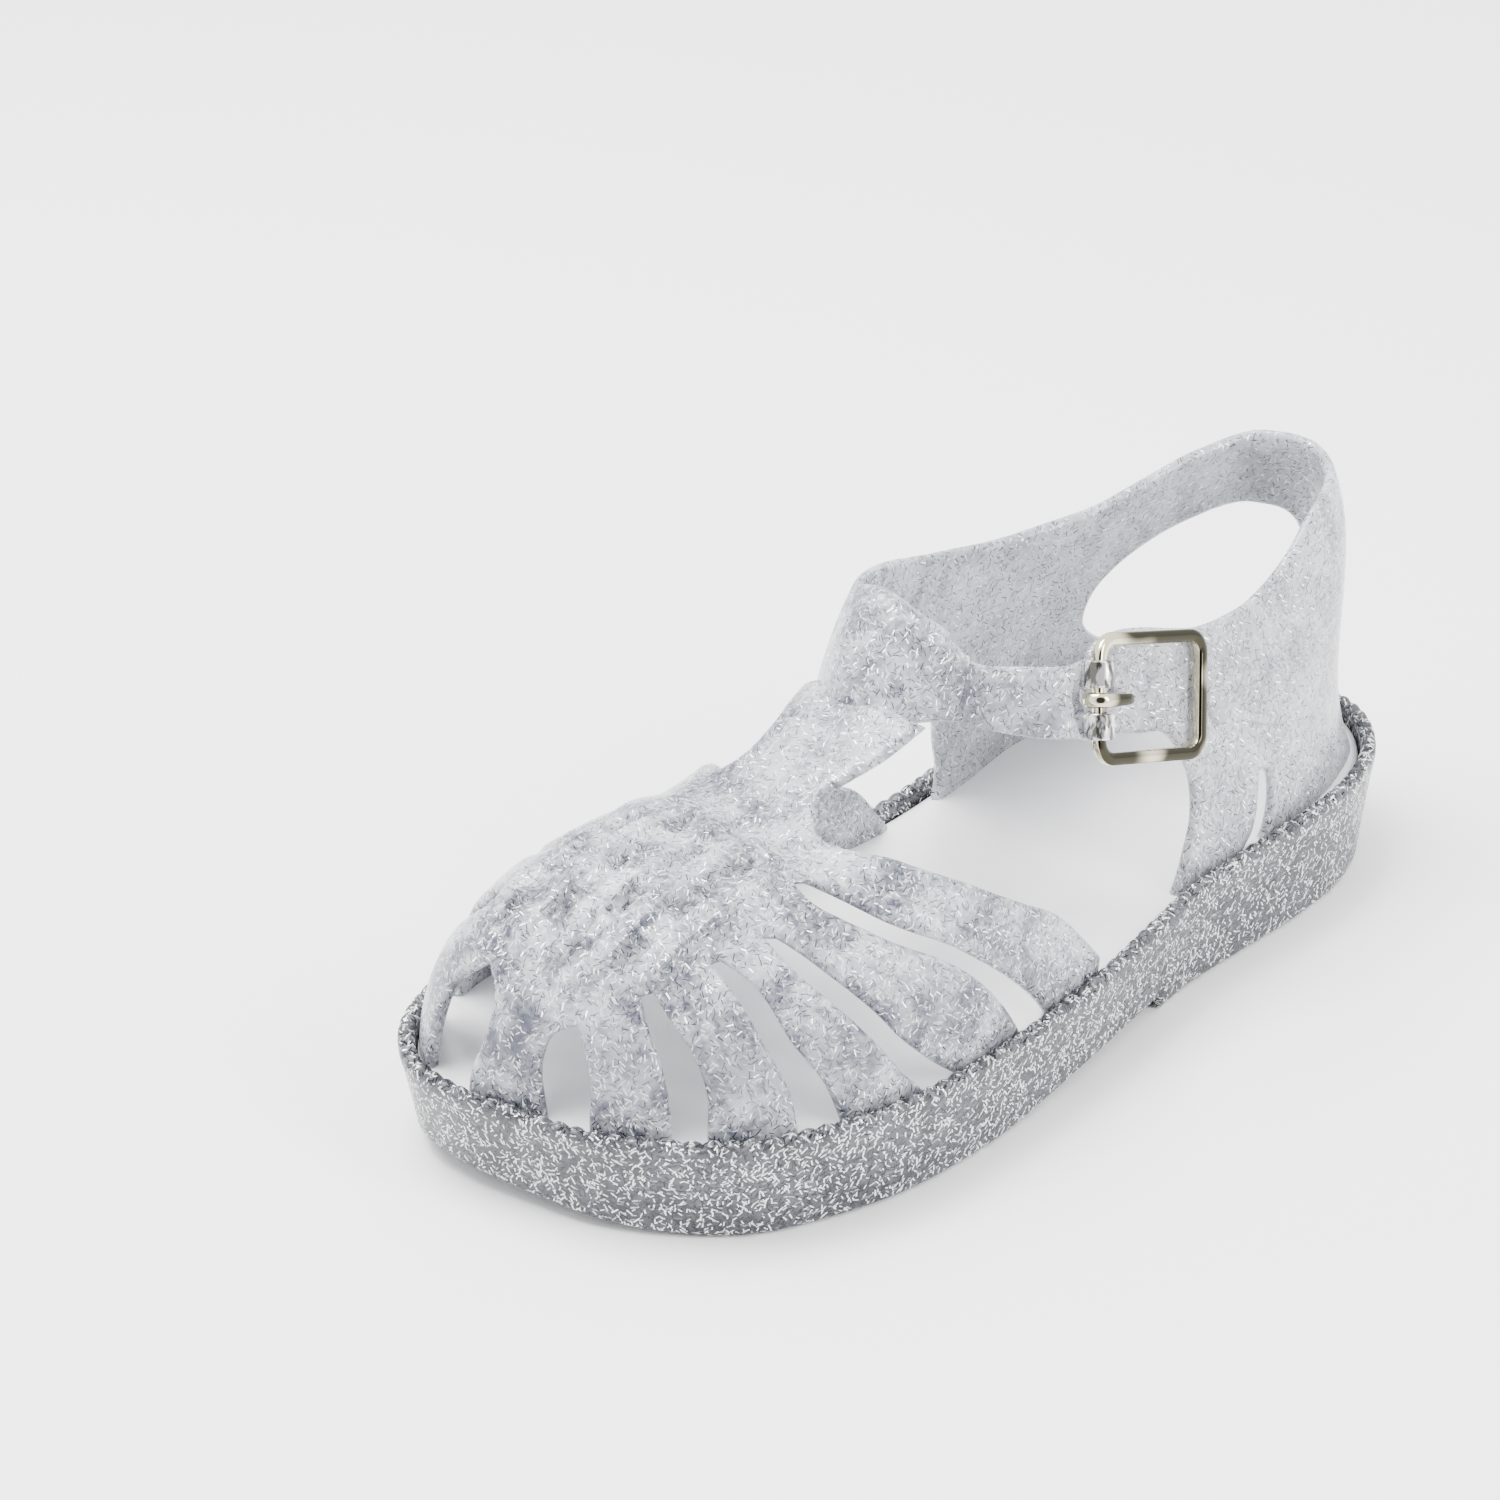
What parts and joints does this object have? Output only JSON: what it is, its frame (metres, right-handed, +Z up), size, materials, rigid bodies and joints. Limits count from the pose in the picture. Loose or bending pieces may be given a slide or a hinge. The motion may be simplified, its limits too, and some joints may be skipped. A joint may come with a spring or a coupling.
{
  "type": "jelly sandal",
  "caption": "Child's left jelly sandal in clear glitter plastic: woven closed toe, T-bar, ankle strap with a square buckle, bare pearl footbed and flatform sole.",
  "frame": {"origin": "on the floor plane, in the middle of the sole's outline from above", "axes": "+Z up, -Y towards the toe, +X towards the outer side of the foot"},
  "size_m": [0.0692, 0.1617, 0.0631],
  "materials": {
    "outsole": "clear grey plastic full of silver glitter",
    "insole": "pearl white, satin, smooth",
    "upper": "milky clear plastic with silver glitter",
    "nickel": "polished nickel"
  },
  "bodies": {
    "root": {"outsole": "outsole", "insole": "insole", "upper": "upper", "buckle_frame": "nickel", "buckle_prong": "nickel"}
  },
  "joints": []
}
